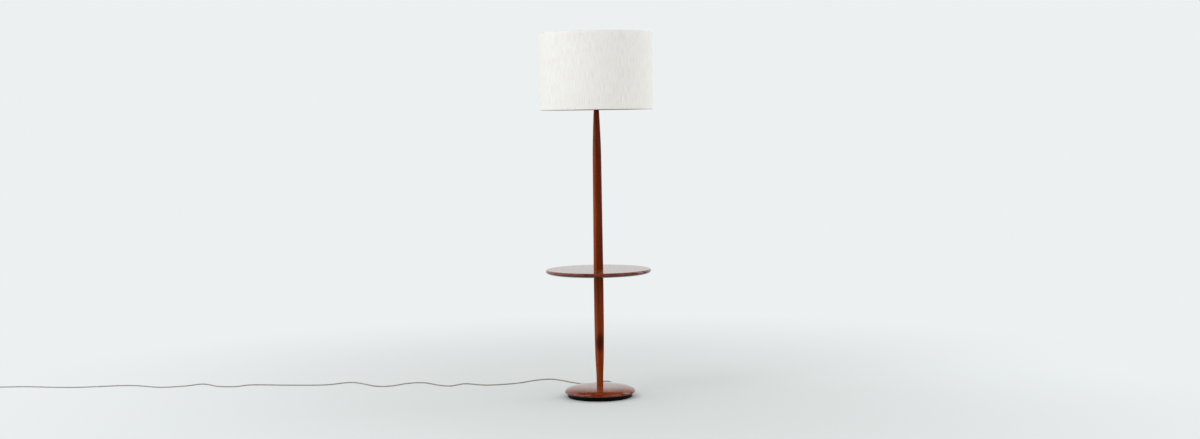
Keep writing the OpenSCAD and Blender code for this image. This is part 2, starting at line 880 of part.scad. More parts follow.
// the stretch that the lamp holds: down the pipe, round a bend and out along the channel
module cord_inside() {
    bend_z = cord_inside_z + cord_bend_r;
    color(cord_brown)
        union() {
            translate([0, 0, bend_z])
                cylinder(h = cord_top_z - bend_z, r = cord_r);
            translate([0, cord_bend_r, bend_z])
                rotate([-90, 0, -90])
                    rotate_extrude(angle = 90)
                        translate([cord_bend_r, 0])
                            circle(r = cord_r);
            translate([0, cord_bend_r, cord_inside_z])
                rotate([-90, 0, 0])
                    cylinder(h = grommet_end_y - cord_bend_r, r = cord_r);
        }
}

// a rubber bush in the mouth of the channel, with a tapered sleeve on the cord
module cord_grommet() {
    color([0.10, 0.07, 0.07])
        translate([0, 0, cord_inside_z])
            rotate([-90, 0, 0])
                difference() {
                    union() {
                        translate([0, 0, grommet_in_y])
                            cylinder(h = grommet_flange_y - grommet_in_y, r = grommet_plug_r);
                        translate([0, 0, grommet_flange_y])
                            cylinder(h = grommet_flange_t, r = grommet_flange_r);
                        translate([0, 0, grommet_flange_y])
                            cylinder(h = grommet_end_y - grommet_flange_y, r1 = sleeve_root_r,
                                r2 = sleeve_tip_r);
                    }
                    translate([0, 0, grommet_in_y - cut])
                        cylinder(h = grommet_end_y, r = cord_r);
                }
}

function lifted(p) = [p[0], p[1], is_undef(p[2]) ? cord_r : p[2]];
cord_points = [for (p = smooth([for (p = cord_route) lifted(p)], route_steps))
    [p[0], p[1], max(p[2], cord_r)]];

module cord_run() {
    color(cord_brown)
        tube(cord_points, cord_r, cord_sides);
}

// the coil's centre line, t turns in: the radius shrinks and grows again at a steady rate
function coil_radius(t) = coil_out_r - coil_pitch * (coil_half - abs(t - coil_half));
function coil_level(t) =
    cord_r + coil_pitch * min(max((t - coil_half) * 2 + 0.5, 0), 1);
function coil_point(t) =
    [coil_centre[0] + coil_radius(t) * cos(90 + 360 * t),
        coil_centre[1] + coil_radius(t) * sin(90 + 360 * t), coil_level(t)];
coil_points = concat(
    [[coil_entry[0], coil_entry[1], cord_r], [coil_entry[0] - cord_d, coil_entry[1], cord_r]],
    [for (k = [0 : coil_turns * coil_rings]) coil_point(k / coil_rings)],
    [[plug_x + cord_d, coil_entry[1], plug_t / 2], [plug_x, coil_entry[1], plug_t / 2]]);

module cord_coil() {
    color(cord_brown)
        tube(coil_points, cord_r, coil_sides);
}

module plug_body() {
    color(cord_brown)
        translate([plug_x, coil_entry[1], plug_t / 2])
            rotate([0, -90, 0]) {
                cylinder(h = plug_sleeve + 2, r1 = cord_r + 1, r2 = cord_r + 2.4);
                translate([0, 0, plug_sleeve])
                    linear_extrude(height = plug_l - plug_sleeve)
                        plug_section();
            }
}

// the plug's section: two half rounds joined by flats
module plug_section() {
    reach = plug_w / 2 - plug_t / 2;
    square([plug_t, 2 * reach], center = true);
    for (side = [-1, 1])
        translate([0, side * reach])
            circle(r = plug_t / 2);
}

module plug_blades() {
    color(brass)
        for (side = [-1, 1])
            translate([plug_x - plug_l - blade_l,
                coil_entry[1] + side * blade_gap / 2 - blade_t / 2, plug_t / 2 - blade_w / 2])
                cube([blade_l, blade_t, blade_w]);
}

// the cord's length, and the coil's least gap to itself, between turns and layers
far_pairs = [for (i = [0 : len(coil_points) - 1], j = [i + 8 : len(coil_points) - 1])
    if (j < len(coil_points)) norm(coil_points[j] - coil_points[i])];
echo(free_cord_length = run_length(cord_points) + run_length(coil_points));
echo(coil_least_gap = min(far_pairs) - cord_d);

base_felt();
base_weight();
base_screws();
base_disc();
pipe_washer();
pipe_nut();
pole_lower();
pole_upper();
table_top();
pipe_lower();
pipe_upper();
pipe_coupling();
neck_ring();
neck_nut();
harp_saddle();
harp_ferrule_left();
harp_ferrule_right();
harp_wire();
harp_swivel();
socket_cap();
socket_shell();
socket_liner();
socket_body();
socket_screw_shell();
socket_contact();
terminal_screws();
socket_leads();
switch_key();
bulb_glass();
bulb_base();
shade_fabric();
shade_liner();
shade_top_ring();
shade_bottom_ring();
shade_spider();
finial();
cord_inside();
cord_grommet();
cord_run();
cord_coil();
plug_body();
plug_blades();
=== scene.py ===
import math

import bpy
import numpy as np
from mathutils import Euler, Matrix, Vector


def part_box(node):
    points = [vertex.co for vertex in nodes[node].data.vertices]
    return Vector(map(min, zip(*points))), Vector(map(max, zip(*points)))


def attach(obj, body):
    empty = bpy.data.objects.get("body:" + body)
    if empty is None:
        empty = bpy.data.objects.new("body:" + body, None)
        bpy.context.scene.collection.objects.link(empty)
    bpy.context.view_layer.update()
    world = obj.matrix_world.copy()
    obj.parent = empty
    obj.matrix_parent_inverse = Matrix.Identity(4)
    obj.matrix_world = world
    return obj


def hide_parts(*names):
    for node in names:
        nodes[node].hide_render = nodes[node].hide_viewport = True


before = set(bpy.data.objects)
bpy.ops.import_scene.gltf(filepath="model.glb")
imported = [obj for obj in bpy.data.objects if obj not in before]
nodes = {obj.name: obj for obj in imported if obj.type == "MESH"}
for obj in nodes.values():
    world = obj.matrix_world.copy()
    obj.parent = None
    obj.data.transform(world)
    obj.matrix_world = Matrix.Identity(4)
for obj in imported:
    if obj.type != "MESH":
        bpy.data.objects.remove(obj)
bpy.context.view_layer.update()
scene = bpy.context.scene
scene.view_settings.view_transform = "Standard"

# ---- The view -------------------------------------------------------------------------
# A 50 mm lens stands 6.7 m in front of the lamp at chest height. It looks slightly down,
# and it was held a little askew, so the pole leans to the left in the picture.

camera = bpy.data.objects.new("camera", bpy.data.cameras.new("camera"))
camera.data.lens = 50
camera.data.sensor_width = 36
camera.location = (0.009, -6.7232, 1.1244)
look_down = 0.0600
askew = math.radians(-0.77)
level = Euler((math.pi / 2 - look_down, 0, 0)).to_matrix()
camera.rotation_euler = (level @ Matrix.Rotation(askew, 3, "Z")).to_euler()
scene.collection.objects.link(camera)
scene.camera = camera

# ---- The cord -------------------------------------------------------------------------
# A round flexible cord with a smooth grey-brown plastic jacket, drawn over its wires. It
# comes straight out of the sleeve behind the base, sinks to the floor and wanders off to the
# left. The end of its 3.67 m is wound into a small coil beyond the picture.

cord_r = 0.00225
cord_exit = (0, 0.165, 0.007)
cord_route = [
    cord_exit, (0, 0.175, 0.007), (0, 0.190, 0.007), (0, 0.225, 0.0035), (0.031, 0.303),
    (0.044, 0.334), (0.046, 0.358), (0.037, 0.375), (0.020, 0.380), (0.004, 0.371),
    (-0.007, 0.352), (-0.040, 0.325), (-0.076, 0.322), (-0.118, 0.357), (-0.170, 0.424),
    (-0.222, 0.458), (-0.285, 0.425), (-0.360, 0.354), (-0.480, 0.317), (-0.577, 0.362),
    (-0.635, 0.307), (-0.690, 0.335), (-0.760, 0.405), (-0.830, 0.390), (-0.890, 0.330),
    (-0.955, 0.328), (-1.070, 0.438), (-1.180, 0.382), (-1.330, 0.386), (-1.500, 0.408),
    (-1.565, 0.366), (-1.640, 0.380), (-1.720, 0.448), (-1.790, 0.400), (-1.890, 0.376),
    (-2.040, 0.436), (-2.270, 0.404), (-2.480, 0.440), (-2.570, 0.440), (-2.630, 0.440),
]
coil_turns = 2
coil_pitch = 0.0051
coil_lead = 0.035
coil_r = 0.02855
plug_level = cord_r + coil_pitch
sharp_edge = math.radians(32)


def smooth(points, steps):
    """The smooth curve through points, with steps of it in each gap.

    In the gap from b to c, between a and d, the place at share t is
    b + t/2 ((c - a) + t ((2a - 5b + 4c - d) + t (3b - a - 3c + d))).
    """
    points = np.asarray(points, float)
    gap = np.arange(len(points) - 1)
    a, b, c, d = (points[np.clip(gap + k, 0, len(points) - 1)][:, None] for k in (-1, 0, 1, 2))
    t = (np.arange(steps) / steps)[None, :, None]
    squared, cubed = 2 * a - 5 * b + 4 * c - d, 3 * b - a - 3 * c + d
    curve = b + t / 2 * ((c - a) + t * (squared + t * cubed))
    return np.vstack([curve.reshape(-1, points.shape[1]), points[-1:]])


def coiled(entry, turns):
    """The coil's centre line: at t turns the radius is coil_r - pitch (half - |t - half|), and
    the height climbs one pitch in the half turn where the spiral turns back outwards."""
    t = np.linspace(0, turns, turns * 60 + 1)
    half = turns / 2
    radius = coil_r - coil_pitch * (half - abs(t - half))
    angle = math.pi / 2 + 2 * math.pi * t
    climb = np.clip((t - half) * 2 + 0.5, 0, 1)
    x = entry[0] - coil_lead + radius * np.cos(angle)
    y = entry[1] - coil_r + radius * np.sin(angle)
    return np.stack([x, y, cord_r + coil_pitch * climb], axis=1)


def skin(name, grid, loop):
    """A closed mesh over a grid of points. Its columns always go round. Its rows go round too
    where loop is true; otherwise a fan closes each end. The UV map is in metres: U runs along
    the widest row, V along the first column."""
    rows, columns, _ = grid.shape
    ends = np.vstack([grid[0].mean(axis=0), grid[-1].mean(axis=0)])
    index = np.arange(rows * columns).reshape(rows, columns)
    below, above = (index, np.roll(index, -1, axis=0)) if loop else (index[:-1], index[1:])
    quads = np.stack(
        [below, np.roll(below, -1, axis=1), np.roll(above, -1, axis=1), above], axis=-1
    )
    round_steps = np.linalg.norm(np.roll(grid, -1, axis=1) - grid, axis=2)
    widest = round_steps[round_steps.sum(axis=1).argmax()]
    u = np.append(0, np.cumsum(widest))
    climb = np.linalg.norm(np.roll(grid[:, 0], -1, axis=0) - grid[:, 0], axis=1)
    v = np.append(0, np.cumsum(climb))
    i, j = np.indices(below.shape)
    square = ((0, 0), (1, 0), (1, 1), (0, 1))
    uv = np.stack([np.stack([u[j + right], v[i + up]], axis=-1) for right, up in square], axis=2)
    points = np.vstack([grid.reshape(-1, 3), ends])
    faces, corners = quads.reshape(-1, 4), uv.reshape(-1, 4, 2)
    a, b, c, d = (points[faces[:, k]] for k in range(4))
    volume = (a * np.cross(b, c)).sum() + (a * np.cross(c, d)).sum()
    fans, fan_uv = np.zeros((0, 3), int), np.zeros((0, 3, 2))
    if not loop:
        for row, end, turn in ((index[0], 0, -1), (index[-1], 1, 1)):
            tip = np.full(columns, rows * columns + end)
            fan = np.stack([row, np.roll(row, -1), tip], axis=1)[:, ::turn]
            level = v[0] if end == 0 else v[rows - 1]
            edge = np.stack([u[:-1], u[1:], (u[:-1] + u[1:]) / 2], axis=1)[:, ::turn]
            fans = np.vstack([fans, fan])
            fan_uv = np.vstack([fan_uv, np.stack([edge, np.full(edge.shape, level)], axis=-1)])
        a, b, c = (points[fans[:, k]] for k in range(3))
        volume += (a * np.cross(b, c)).sum()
    else:
        points = points[:-2]
    if volume < 0:
        faces, corners, fans, fan_uv = (q[:, ::-1] for q in (faces, corners, fans, fan_uv))
    mesh = bpy.data.meshes.new(name)
    mesh.from_pydata(points.tolist(), [], faces.tolist() + fans.tolist())
    layer = mesh.uv_layers.new(name="UVMap")
    layer.data.foreach_set("uv", np.concatenate([corners.ravel(), fan_uv.ravel()]))
    mesh.shade_smooth()
    mesh.set_sharp_from_angle(angle=sharp_edge)
    piece = bpy.data.objects.new(name, mesh)
    scene.collection.objects.link(piece)
    return piece


def drawn(path, radius, sides, up=(0, 0, 1)):
    """A round section carried square along a path: point k of ring i is
    path_i + radius_i (cos a_k side_i + sin a_k over_i), where side is square to path and up."""
    path = np.asarray(path, float)
    along = np.gradient(path, axis=0)
    side = np.cross(along, up)
    side /= np.linalg.norm(side, axis=1, keepdims=True)
    over = np.cross(side, along)
    over /= np.linalg.norm(over, axis=1, keepdims=True)
    a = np.linspace(0, 2 * math.pi, sides, endpoint=False)[None, :, None]
    ring = np.cos(a) * side[:, None] + np.sin(a) * over[:, None]
    return path[:, None] + np.broadcast_to(radius, len(path))[:, None, None] * ring


class Finish:
    """A value of a finish that changes over a piece: a socket in the finish's node tree.

    Sums and products of such values add their Math nodes, and node() adds any other node.
    """

    def __init__(self, tree, socket=None):
        self.tree = tree
        self.socket = socket

    def node(self, kind, settings=(), sockets=(), out=0):
        """Adds a node. Its settings come first, a ramp's stops among them, then its sockets."""
        made = self.tree.nodes.new("ShaderNode" + kind)
        for name, setting in dict(settings).items():
            if name == "stops":
                ramp = made.color_ramp.elements
                ramp.remove(ramp[1])
                ramp[0].position, ramp[0].color = setting[0][0], (*setting[0][1], 1)
                for place, tint in setting[1:]:
                    ramp.new(place).color = (*tint, 1)
            else:
                setattr(made, name, setting)
        for name, value in dict(sockets).items():
            if isinstance(value, Finish):
                self.tree.links.new(value.socket, made.inputs[name])
            else:
                made.inputs[name].default_value = value
        return Finish(self.tree, made.outputs[out] if made.outputs else None)

    def maths(self, operation, first, second):
        return self.node("Math", {"operation": operation}, {0: first, 1: second})

    def __add__(self, other):
        return self.maths("ADD", self, other)

    def __sub__(self, other):
        return self.maths("SUBTRACT", self, other)

    def __rsub__(self, other):
        return self.maths("SUBTRACT", other, self)

    def __mul__(self, other):
        return self.maths("MULTIPLY", self, other)

    def __pow__(self, other):
        return self.maths("POWER", self, other)

    __radd__ = __add__
    __rmul__ = __mul__


def colour(red, green, blue):
    """A colour given as it looks, each part from 0 to 255, as the light that it sends back."""
    parts = np.array([red, green, blue]) / 255
    light = np.where(parts <= 0.04045, parts / 12.92, ((parts + 0.055) / 1.055) ** 2.4)
    return tuple(light.tolist())


def opaque(rgb):
    return (*rgb, 1)


def cloud(at, per_metre, detail=2.0):
    """A cloudy value about 0.5, with so many blotches to the metre each way."""
    spread = at.node("VectorMath", {"operation": "MULTIPLY"}, {0: at, 1: per_metre})
    return at.node("TexNoise", {}, {"Vector": spread, "Scale": 1.0, "Detail": detail})


def clear_step(value, low, high):
    """0 below low, 1 above high, and a soft step between them."""
    settings = {"interpolation_type": "SMOOTHSTEP"}
    return value.node("MapRange", settings, {"Value": value, "From Min": low, "From Max": high})


def shaded(value, *stops):
    """The colour of a value, by a ramp of (value, colour) stops."""
    return value.node("ValToRGB", {"stops": stops}, {"Fac": value})


def mixed(share, first, second):
    """The first colour where share is 0, the second where it is 1, and a mix between."""
    sides = {0: share, 6: first, 7: second}
    return share.node("Mix", {"data_type": "RGBA"}, sides, out=2)


def raised(height, depth, strength=1.0):
    """A surface relief: height 0 to 1 stands for depth metres."""
    return height.node("Bump", {}, {"Strength": strength, "Distance": depth, "Height": height})


def finish(name, recipe):
    """A new finish. Its recipe works out the shader's sockets from the place on the piece."""
    material = bpy.data.materials.new(name)
    material.use_nodes = True
    material.node_tree.nodes.clear()
    at = Finish(material.node_tree).node("TexCoord", out="Object")
    shader = at.node("BsdfPrincipled", {}, recipe(at))
    at.node("OutputMaterial", {}, {"Surface": shader})
    return material


def dress(piece, material):
    """Gives a piece its finish, in place of any that it has."""
    piece.data.materials.clear()
    piece.data.materials.append(material)


def cord_jacket(at):
    """Extruded jacket: faint draw lines along it, scuffs and a little dust."""
    along = at.node("UVMap")
    lines = cloud(along, (1400, 9, 1))
    scuffs = cloud(at, (55, 55, 55), 3)
    tone = lines * 0.35 + scuffs * 0.65
    return {
        "Base Color": shaded(tone, (0.3, colour(134, 121, 112)), (0.7, colour(166, 152, 142))),
        "Roughness": 0.34 + scuffs * 0.25,
        "Normal": raised(lines, 0.00008),
        "Specular IOR Level": 0.4,
    }


floor_route = [(*place, cord_r)[:3] for place in cord_route]
cord_path = smooth(floor_route, 9)
cord_path[:, 2] = np.maximum(cord_path[:, 2], cord_r)
coil_entry = cord_path[-1]
plug_x = coil_entry[0] - coil_lead - coil_r - cord_r - 0.004
plug_end = [(plug_x + 2 * cord_r, coil_entry[1], plug_level), (plug_x, coil_entry[1], plug_level)]
cord_path = np.vstack(
    [cord_path, coil_entry - (2 * cord_r, 0, 0), coiled(coil_entry, coil_turns), plug_end]
)
lamp_cord = skin("lamp_cord", drawn(cord_path, cord_r, 18), loop=False)
jacket = finish("cord_jacket", cord_jacket)
dress(lamp_cord, jacket)
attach(lamp_cord, "lamp")
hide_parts("cord_run", "cord_coil")

dress(nodes["cord_inside"], jacket)

# ---- The plug and the coil's tie ------------------------------------------------------
# A plug with two folded brass blades, moulded onto the cord in the same plastic: a short
# sleeve, shoulders, and three finger grooves on each flat side. A flat band ties the coil.

plug_length = 0.036
plug_half_w = 0.0124
plug_half_t = 0.0073
groove_from = 0.0205
groove_to = 0.0325
groove_fade = 0.002
groove_pitch = 0.004
groove_depth = 0.0006


def plug_moulding():
    """Sections square to the plug's axis: each is |y/w|^n + |z/t|^n = 1, with n from 2 on the
    sleeve to 2.8 on the body. The half width w and half thickness t change along the plug,
    and each groove lowers t by a cosine."""
    stations = smooth(
        [
            (0, 0.0030, 0.0030, 2), (0.0118, 0.0044, 0.0044, 2), (0.0135, 0.0056, 0.0049, 2.1),
            (0.0160, 0.0094, 0.0062, 2.4), (0.0190, 0.0115, 0.0070, 2.7),
            (0.0240, plug_half_w, plug_half_t, 2.8), (0.0330, plug_half_w, plug_half_t, 2.8),
            (0.0352, 0.0120, 0.0070, 2.8), (plug_length, 0.0112, 0.0064, 2.8),
        ],
        8,
    )
    along, wide, thick, power = (stations[:, k, None] for k in range(4))
    wide = np.minimum(wide, plug_half_w)
    thick = np.minimum(thick, plug_half_t)
    inside = np.clip((along - groove_from) / groove_fade, 0, 1)
    inside = inside * np.clip((groove_to - along) / groove_fade, 0, 1)
    wave = 0.5 - 0.5 * np.cos(2 * math.pi * (along - groove_from) / groove_pitch)
    grooves = groove_depth * inside * wave
    a = np.linspace(0, 2 * math.pi, 64, endpoint=False)[None]
    y = wide * np.sign(np.cos(a)) * abs(np.cos(a)) ** (2 / power)
    z = thick * np.sign(np.sin(a)) * abs(np.sin(a)) ** (2 / power)
    z = z * (1 - grooves / thick * (abs(y) < 0.7 * wide))
    x = np.broadcast_to(plug_x - along, y.shape)
    return np.stack([x, coil_entry[1] + y, plug_level + z], axis=-1)


plug_shell = skin("plug_shell", plug_moulding(), loop=False)
dress(plug_shell, jacket)
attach(plug_shell, "lamp")
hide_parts("plug_body")


def coil_band(half_wide, thickness):
    """A flat strip bent round the coil's two turns, at its far side: the strip's path is the
    outline round two circles, kept above the floor, and its section a thin rectangle. A quarter
    turn after the entry the first turn lies a quarter pitch in, and the next three quarters."""
    low = np.array([coil_r - 0.25 * coil_pitch, cord_r])
    high = np.array([coil_r - 0.75 * coil_pitch, plug_level])
    lean = math.atan2(*(high - low)[::-1])
    reach = cord_r + thickness / 2
    half_turn = np.linspace(-math.pi / 2, math.pi / 2, 14)
    upper = high + reach * np.stack([np.cos(lean + half_turn), np.sin(lean + half_turn)], axis=1)
    lower = low - reach * np.stack([np.cos(lean + half_turn), np.sin(lean + half_turn)], axis=1)
    path = np.vstack([upper, lower])
    path[:, 1] = np.maximum(path[:, 1], 0.0001 + thickness / 2)
    centre = (low + high) / 2
    out = (path - centre) / np.linalg.norm(path - centre, axis=1, keepdims=True)
    corners = ((-1, -0.5), (1, -0.5), (1, 0.5), (-1, 0.5))
    rows = []
    for across, away in corners:
        r, z = (path + out * away * thickness).T
        x = coil_entry[0] - coil_lead - r
        y = coil_entry[1] - coil_r + across * half_wide + 0 * r
        rows.append(np.stack([x, y, z], axis=-1))
    return np.stack(rows, axis=1)


def band_weave(at):
    """Black woven tape with its fine cross ribs."""
    ribs = cloud(at, (300, 2600, 300), 1)
    return {
        "Base Color": shaded(ribs, (0.3, colour(20, 20, 21)), (0.7, colour(44, 43, 44))),
        "Roughness": 0.8,
        "Normal": raised(ribs, 0.0002),
    }


coil_tie = skin("coil_tie", coil_band(0.005, 0.0007), loop=True)
dress(coil_tie, finish("tie_tape", band_weave))
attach(coil_tie, "lamp")


def folded_brass(at):
    """Stamped strip brass: drawn along its length, slightly scratched and dulled."""
    draw = cloud(at, (30, 1800, 1800), 1)
    dull = cloud(at, (140, 140, 140), 3)
    return {
        "Base Color": shaded(dull, (0.3, colour(176, 141, 84)), (0.7, colour(214, 184, 124))),
        "Metallic": 1.0,
        "Roughness": 0.22 + dull * 0.2,
        "Normal": raised(draw, 0.00004),
    }


dress(nodes["plug_blades"], finish("plug_brass", folded_brass))

# ---- The sleeve behind the base -------------------------------------------------------
# A moulded rubber bush, pressed into the mouth of the channel in the iron. Outside its flange
# it tapers over 35 mm, with grooves that let it bend with the cord.

sleeve_low, sleeve_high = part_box("cord_grommet")
sleeve_z = (sleeve_low.z + sleeve_high.z) / 2
bush_r = 0.004
flange_y = 0.130
flange_t = 0.0025
flange_r = 0.006
sleeve_grooves = 7
sleeve_groove = 0.0006
sleeve_root_r = cord_r + 0.0031
sleeve_tip_r = cord_r + 0.0013


def lathe(outline, around=160):
    """An outline of (radius, height) points carried round the Z axis: point i at angle a is
    (radius_i cos a, radius_i sin a, height_i)."""
    radius, height = np.asarray(outline, float).T[:, :, None]
    a = np.linspace(0, 2 * math.pi, around, endpoint=False)[None]
    return np.stack([radius * np.cos(a), radius * np.sin(a), height + 0 * a], axis=-1)


def sleeve_outline():
    """Bore, plug, flange, then a taper whose radius dips by a cosine in each groove."""
    y = np.linspace(flange_y + flange_t, sleeve_high.y, 71)
    share = (y - y[0]) / (y[-1] - y[0])
    taper = sleeve_root_r - (sleeve_root_r - sleeve_tip_r) * share
    wave = 0.5 - 0.5 * np.cos(2 * math.pi * share * sleeve_grooves)
    outer = np.stack([taper - sleeve_groove * wave * (share < 0.98), y], axis=1)
    bush = [
        (cord_r, sleeve_low.y), (bush_r - 0.0003, sleeve_low.y), (bush_r, sleeve_low.y + 0.0004),
        (bush_r, flange_y), (flange_r - 0.0003, flange_y), (flange_r, flange_y + 0.0004),
        (flange_r, flange_y + flange_t - 0.0004), (flange_r - 0.0003, flange_y + flange_t),
    ]
    return np.vstack([bush, outer, [(cord_r, sleeve_high.y)]])


def moulded_rubber(at):
    """Dull dark rubber with a fine bloom."""
    bloom = cloud(at, (260, 260, 260), 4)
    return {
        "Base Color": shaded(bloom, (0.3, colour(33, 25, 25)), (0.75, colour(62, 50, 50))),
        "Roughness": 0.5 + bloom * 0.3,
        "Normal": raised(bloom, 0.00006),
    }


sleeve_grid = lathe(sleeve_outline(), 48)[..., [0, 2, 1]] + (0, 0, sleeve_z)
cord_sleeve = skin("cord_sleeve", sleeve_grid, loop=True)
dress(cord_sleeve, finish("sleeve_rubber", moulded_rubber))
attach(cord_sleeve, "lamp")
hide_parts("cord_grommet")

# ---- The weight and its felt ----------------------------------------------------------
# A cast iron disc with a rolled black enamel, screwed up into the wood from below, and a disc
# of pressed wool felt glued under it. They show as the thin black line below the wood.

felt_low, felt_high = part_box("base_felt")


def felt_outline():
    """A disc whose edge is half round."""
    half = (felt_high.z - felt_low.z) / 2
    a = np.linspace(-math.pi / 2, math.pi / 2, 9)
    edge = np.stack([felt_high.x - half + half * np.cos(a), half + half * np.sin(a)], axis=1)
    inner = np.linspace(0.004, felt_high.x - 0.003, 24)
    lower = np.stack([inner, 0 * inner + felt_low.z], axis=1)
    upper = np.stack([inner[::-1], 0 * inner + felt_high.z], axis=1)
    return np.vstack([lower, edge, upper])


def pressed_felt(at):
    """Short matted wool: tangled light hairs over a dark ground."""
    hairs = cloud(at, (900, 900, 900), 5)
    worn = cloud(at, (22, 22, 22), 2)
    tone = hairs * 0.7 + worn * 0.3
    return {
        "Base Color": shaded(tone, (0.35, colour(16, 16, 16)), (0.7, colour(52, 50, 49))),
        "Roughness": 0.95,
        "Normal": raised(hairs, 0.0006),
        "Sheen Weight": 0.15,
    }


felt_pad = skin("felt_pad", lathe(felt_outline()), loop=False)
dress(felt_pad, finish("wool_felt", pressed_felt))
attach(felt_pad, "lamp")
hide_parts("base_felt")


def black_iron(at):
    """Enamel over a sand casting: a slight orange peel, with the metal's grain under it."""
    peel = cloud(at, (420, 420, 420), 2)
    casting = cloud(at, (1500, 1500, 1500), 3)
    worn = clear_step(cloud(at, (60, 60, 60), 4), 0.62, 0.7)
    return {
        "Base Color": shaded(worn, (0, colour(5, 4, 4)), (1, colour(20, 17, 16))),
        "Roughness": 0.42 + casting * 0.22,
        "Normal": raised(peel * 0.6 + casting * 0.4, 0.0002, 0.7),
        "Specular IOR Level": 0.08,
    }


dress(nodes["base_weight"], finish("black_iron", black_iron))


def zinc_steel(at):
    """Zinc plate on steel: patchy crystals, and a duller blue-grey where it is handled."""
    patches = cloud(at, (380, 380, 380), 3)
    return {
        "Base Color": shaded(patches, (0.3, colour(150, 152, 155)), (0.7, colour(196, 197, 196))),
        "Metallic": 1.0,
        "Roughness": 0.26 + patches * 0.26,
        "Normal": raised(patches, 0.00003),
    }


plated = finish("zinc_steel", zinc_steel)
for name in (
    "base_screws", "pipe_washer", "pipe_nut", "pipe_lower", "pipe_upper", "pipe_coupling",
):
    dress(nodes[name], plated)

# ---- The wooden base ------------------------------------------------------------------
# A shallow dome turned from walnut boards, stained, and finished in several coats of oil
# varnish. Its edge rolls over to a small lip that stands clear of the iron. A pocket below
# takes the pipe's nut.

base_low, base_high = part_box("base_disc")
base_widest_z = 0.021
base_lip = 0.005
crown_power_r = 3.5
crown_power_h = 2.2
pipe_hole_r = 0.00525
pocket_r = 0.016
pocket_roof_z = base_high.z - 0.008
pole_seat_r = 0.014


def dome_outline():
    """The crown falls as a superellipse, (r/R)^3.5 + (h/H)^2.2 = 1, with its points closest
    near the rim; the lip below it is a quarter ellipse; the pocket and the pipe's hole close
    the outline from inside."""
    rise = base_high.z - base_widest_z
    share = (1 - np.linspace(0, 1, 61)) ** 0.55
    r = pole_seat_r + (base_high.x - pole_seat_r) * share[::-1]
    height = rise * (1 - (r / base_high.x) ** crown_power_r) ** (1 / crown_power_h)
    crown = np.stack([r, base_widest_z + height], axis=1)
    a = np.linspace(0, math.pi / 2, 13)[1:]
    drop = base_widest_z - base_low.z
    lip = np.stack(
        [base_high.x - base_lip * (1 - np.cos(a)), base_widest_z - drop * np.sin(a)], axis=1
    )
    inside = [
        (pocket_r, base_low.z), (pocket_r, pocket_roof_z),
        (pipe_hole_r, pocket_roof_z), (pipe_hole_r, crown[0, 1]),
    ]
    return np.vstack([crown, lip, inside])


def walnut(grain, heart, varnish, stain=0, knot=None, painted_left_light=0, shade_below_z=None):
    """The recipe for stained walnut. Growth rings lie round a heart line and are drawn out
    along the grain. Streaks, fibres and short pores run with it. Varnish is how thickly it is
    coated, from 0 to 1, stain is how much deeper its colour took than usual, and a knot is
    (place, reach). The next argument is how much paler the left side is painted: painted light
    for the side that faces the light. Below the last, a height, the colour is painted darker:
    painted shade for the shaded underside of an edge."""

    def recipe(at):
        wood = at.node("Mapping", {}, {"Vector": at, "Rotation": grain, "Location": heart})
        x, y = (wood.node("SeparateXYZ", {}, {0: wood}, out) for out in ("X", "Y"))
        sway = cloud(wood, (9, 9, 1.6), 2) * 0.030
        if knot:
            place, reach = knot
            away = at.node("VectorMath", {"operation": "SUBTRACT"}, {0: at, 1: place})
            away = away.node("VectorMath", {"operation": "MULTIPLY"}, {0: away, 1: (1, 1, 0.62)})
            away = away.node("VectorMath", {"operation": "LENGTH"}, {0: away}, "Value")
            swirl = 1 - clear_step(away, 0.25 * reach, reach)
            sway = sway + swirl * 0.012
        ring = (x * x + y * y) ** 0.5 + sway
        bands = {"W": ring * 260, "Detail": 1.5}
        rings = ring.node("TexNoise", {"noise_dimensions": "1D"}, bands)
        streaks = cloud(wood, (75, 75, 1.7), 3)
        fibres = cloud(wood, (620, 620, 9), 2)
        pores = clear_step(cloud(wood, (1500, 1500, 42), 1), 0.60, 0.70)
        tone = rings * 0.42 + streaks * 0.40 + fibres * 0.18 - pores * 0.10 - stain
        # Painted light: the left side of the wood is painted paler, where the light falls most.
        if painted_left_light:
            across = at.node("SeparateXYZ", {}, {0: at}, "X")
            left = clear_step(across * -1 + sway * 0.1, 0.003, 0.013)
            tone = tone + left * painted_left_light
        if knot:
            tone = tone - swirl * 0.22
        # Painted shade: below the given height the colour is painted darker, for the shaded
        # underside of the edge.
        if shade_below_z:
            height = at.node("SeparateXYZ", {}, {0: at}, "Z")
            tone = tone - (1 - clear_step(height, shade_below_z - 0.001, shade_below_z + 0.001)) * 0.14
        return {
            "Base Color": shaded(
                tone,
                (0.20, colour(34, 10, 6)),
                (0.38, colour(76, 24, 9)),
                (0.50, colour(106, 38, 12)),
                (0.64, colour(146, 62, 20)),
            ),
            "Roughness": 0.42 + pores * 0.12,
            "Normal": raised(fibres * 0.4 - pores, 0.00006, 0.5),
            "Specular IOR Level": 0.04,
            "Coat Weight": (1 - pores * 0.2) * varnish,
            "Coat Roughness": 0.05,
        }

    return recipe


lying_grain = (0, math.pi / 2, 0)
base_wood = skin("base_wood", lathe(dome_outline(), 256), loop=True)
dress(base_wood, finish("base_walnut", walnut(lying_grain, (0.10, 0.035, 0), 1.0, -0.03)))
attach(base_wood, "lamp")
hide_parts("base_disc")

# ---- The pole -------------------------------------------------------------------------
# Two lengths turned from one straight board and bored for the lamp pipe. The lower one swells
# from a slim foot, and its tenon passes through the table. The upper one stands on the table
# and tapers up into the shade.

